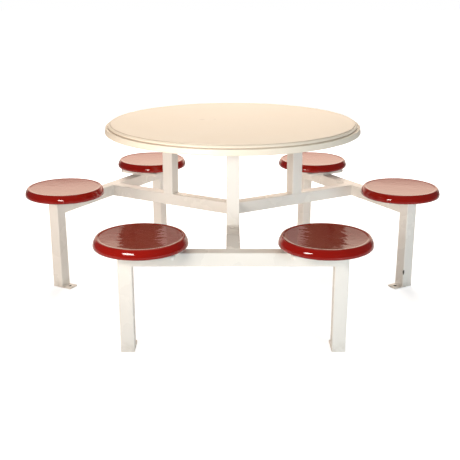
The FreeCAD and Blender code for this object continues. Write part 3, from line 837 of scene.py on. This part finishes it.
def weldBead(start, finish, size, arm):
    # a rod from start to finish: its radius is the size, less the ripple, times a slow drift, times a
    # root that falls to 0 at both ends
    start, finish = np.asarray(start, float), np.asarray(finish, float)
    run = finish - start
    length = np.linalg.norm(run)
    along = np.linspace(0, 1, max(weldSizes["fewest"], int(length / weldSizes["step"])))
    phase, sway = draw.uniform(0, weldSizes["phase"], 2)
    ripple = np.abs(np.sin(math.pi * along * length / weldSizes["pitch"] + phase))
    drift = np.sin(along * length * weldSizes["wanderRate"] + sway)
    thin = np.sqrt(np.clip(1 - np.abs(2 * along - 1) ** weldSizes["endPower"], 0, 1))
    radii = size * (1 - weldSizes["ripple"] * ripple) * (1 + weldSizes["wander"] * drift) * thin
    across = np.array([0, 0, 1.0]) if abs(run[2]) < length / 2 else np.array([1.0, 0, 0])
    beside = np.cross(run / length, across)
    middles = onArm(start + along[:, None] * run, arm)
    turn = math.radians(arms[arm])
    spin = np.array([[math.cos(turn), -math.sin(turn), 0], [math.sin(turn), math.cos(turn), 0], [0, 0, 1]])
    return roundShape(middles, radii, spin @ across, spin @ beside, weldSizes["turns"])


flat = halfTube - weldSizes["setIn"]
cornerLow, cornerTop = frameLow + weldSizes["endGap"], frameTop - weldSizes["endGap"]
beamIn = halfTube - beamReach
fork = halfTube / math.cos(cutBack)  # the corner between two radial beams
for arm in arms:
    beads = []
    for y in (-postReach - halfTube, -postReach + halfTube):  # post on the radial beam, and under its plate
        beads.append(weldBead((-flat, y, frameTop), (flat, y, frameTop), weldSizes["post"], arm))
        beads.append(weldBead((-flat, y, postTop), (flat, y, postTop), weldSizes["post"], arm))
    for x in (-halfTube, halfTube):  # post's other sides under its plate, and radial beam on the cross beam
        beads.append(weldBead((x, -postReach - flat, postTop), (x, -postReach + flat, postTop),
                              weldSizes["post"], arm))
        beads.append(weldBead((x, beamIn, cornerLow), (x, beamIn, cornerTop), weldSizes["corner"], arm))
    beads.append(weldBead((0, fork, cornerLow), (0, fork, cornerTop), weldSizes["corner"], arm))
    for end in (-1, 1):  # leg under the cross beam, leg on its foot plate, and tray on the cross beam
        x = end * (beamHalf - tubeSide)
        beads.append(weldBead((x, -beamReach - flat, frameLow), (x, -beamReach + flat, frameLow),
                              weldSizes["leg"], arm))
        x = end * legReach
        beads.append(weldBead((x - flat, beamIn, footTop), (x + flat, beamIn, footTop),
                              weldSizes["foot"], arm))
        for x in (end * (trayLow.x - axisX), end * (trayHigh.x - axisX)):
            beads.append(weldBead((x, -beamReach - flat, frameTop), (x, -beamReach + flat, frameTop),
                                  weldSizes["tray"], arm))
    makePiece("weldBeads_" + arm, joined(beads), ivoryPaint, "frame_paint", sharp=weldSizes["sharp"])
print("welds built")


def seenDirectly(tree):
    # 1 for what the camera sees, also through clear things
    path = put(tree, "LightPath").outputs
    return maths(tree, "MAXIMUM", path["Is Camera Ray"], path["Is Transmission Ray"])


# studio floor: pale and matte, and lifted to white for the camera, so that it keeps only a soft shadow
floorLook = {"size": 60.0, "colour": (0.78, 0.78, 0.78, 1), "pale": (0.79, 0.79, 0.79, 1), "clouds": 3.0,
             "cloudDetail": 2.0, "lift": (0.62, 1.0), "fade": (0.8, 4.0)}
half = floorLook["size"] / 2
floorMesh = bpy.data.meshes.new("studioFloor")
corners = [(-half, -half, 0), (half, -half, 0), (half, half, 0), (-half, half, 0)]
floorMesh.from_pydata(corners, [], [(0, 1, 2, 3)])
studioFloor = bpy.data.objects.new("studioFloor", floorMesh)
scene.collection.objects.link(studioFloor)
studioFloor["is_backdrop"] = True
floorWhite = bpy.data.materials.new("floorWhite")
floorWhite.use_nodes = True
tree = floorWhite.node_tree
tree.nodes.clear()
ground = put(tree, "TexCoord").outputs["Object"]
paper = noise(tree, ground, floorLook["clouds"], floorLook["cloudDetail"])
matte = put(tree, "BsdfDiffuse", {"Color": blendColour(tree, paper, floorLook["colour"], floorLook["pale"])})
away = put(tree, "VectorMath", {0: ground}, operation="LENGTH").outputs["Value"]
glow = maths(tree, "MULTIPLY", seenDirectly(tree), ramp(tree, away, *floorLook["fade"], *floorLook["lift"]))
lift = put(tree, "Emission", {"Strength": glow})
both = put(tree, "AddShader", {0: matte.outputs[0], 1: lift.outputs[0]})
put(tree, "OutputMaterial", {"Surface": both.outputs[0]})
floorMesh.materials.append(floorWhite)

# the backdrop is white to the camera; it lights the table from behind, and the room in front is dim
worldLook = {"white": (1, 1, 1, 1), "back": (1.28, 1.05, 0.84, 1), "room": (0.11, 0.105, 0.10, 1),
             "sideways": (0.68, 0.92), "upwards": (0.25, 0.32), "dimmed": 0.48}
world = bpy.data.worlds.new("studioWorld")
world.use_nodes = True
scene.world = world
tree = world.node_tree
tree.nodes.clear()
facing = put(tree, "SeparateXYZ", {0: put(tree, "TexCoord").outputs["Generated"]}).outputs
behind = ramp(tree, facing["Y"], *worldLook["sideways"])
dimmer = ramp(tree, facing["Z"], *worldLook["upwards"], 1.0, worldLook["dimmed"])
colour = blendColour(tree, maths(tree, "MULTIPLY", behind, dimmer), worldLook["room"], worldLook["back"])
colour = blendColour(tree, seenDirectly(tree), colour, worldLook["white"])
sky = put(tree, "Background", {"Color": colour, "Strength": 1.0})
put(tree, "OutputWorld", {"Surface": sky.outputs[0]})

# soft lamps out of the picture: a small one for the glints on the seats, a warm one at the left, a cool
# one at the right, one overhead and one behind; a lamp that isn't mirrored stays out of reflections
lamps = {
    "glintLamp": {"at": (-0.76, -1.62, 0.95), "aim": (0.0, -0.2, 2.1), "size": (0.55, 0.55), "shape": "DISK",
                  "watts": 16.5, "colour": (1.0, 0.96, 0.91), "mirrored": True},
    "frontLamp": {"at": (-2.8, -2.2, 1.0), "aim": (0.0, 0.0, 0.4), "size": (1.4, 1.4), "shape": "DISK",
                  "watts": 35.5, "colour": (1.0, 0.88, 0.79), "mirrored": False},
    "windowLamp": {"at": (1.9, -3.3, 1.0), "aim": (0.0, 0.0, 0.4), "size": (1.8, 1.8), "shape": "DISK",
                   "watts": 58.0, "colour": (0.79, 0.92, 1.0), "mirrored": False},
    "overLamp": {"at": (0.0, 0.1, 3.0), "aim": (0.0, 0.1, 0.6), "size": (2.4, 1.6), "shape": "RECTANGLE",
                 "watts": 19.0, "colour": (1.0, 0.95, 0.87), "mirrored": True},
    "backLamp": {"at": (0.0, 3.2, 2.3), "aim": (0.0, 0.2, 0.5), "size": (2.6, 1.2), "shape": "RECTANGLE",
                 "watts": 136.0, "colour": (1.0, 0.89, 0.82), "mirrored": False},
}
for name, lamp in lamps.items():
    light = bpy.data.lights.new(name, "AREA")
    light.shape = lamp["shape"]
    light.size = lamp["size"][0]
    if lamp["shape"] == "RECTANGLE":
        light.size_y = lamp["size"][1]
    light.energy = lamp["watts"]
    light.color = lamp["colour"]
    holder = bpy.data.objects.new(name, light)
    reach = np.array(lamp["aim"]) - np.array(lamp["at"])
    tilt = math.atan2(math.hypot(reach[0], reach[1]), -reach[2])
    holder.location = lamp["at"]
    holder.rotation_euler = (tilt, 0, math.atan2(-reach[0], reach[1]))
    holder.visible_glossy = lamp["mirrored"]
    holder.visible_camera = False
    scene.collection.objects.link(holder)

# the camera comes from a fit to measured points of the photograph: its place in mm from the table's axis,
# its angles in radians, and its focal length and frame in pixels
cameraLook = {"at": (-13.44, -3333.98, 1301.13), "pitch": 0.3046, "yaw": 0.0007, "focal": 805.25,
              "frame": 460, "sensor": 36.0, "clipEnd": 100}
lens = bpy.data.cameras.new("photoCamera")
lens.sensor_width = cameraLook["sensor"]
lens.lens = cameraLook["focal"] / cameraLook["frame"] * cameraLook["sensor"]
lens.clip_end = cameraLook["clipEnd"]
photoCamera = bpy.data.objects.new("photoCamera", lens)
x, y, z = cameraLook["at"]
photoCamera.location = (x * mm + axisX, y * mm + axisY, z * mm)
photoCamera.rotation_euler = (math.pi / 2 - cameraLook["pitch"], 0, -cameraLook["yaw"])
scene.collection.objects.link(photoCamera)
scene.camera = photoCamera
scene.view_settings.view_transform = "Standard"
print("studio ready")

low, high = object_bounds()
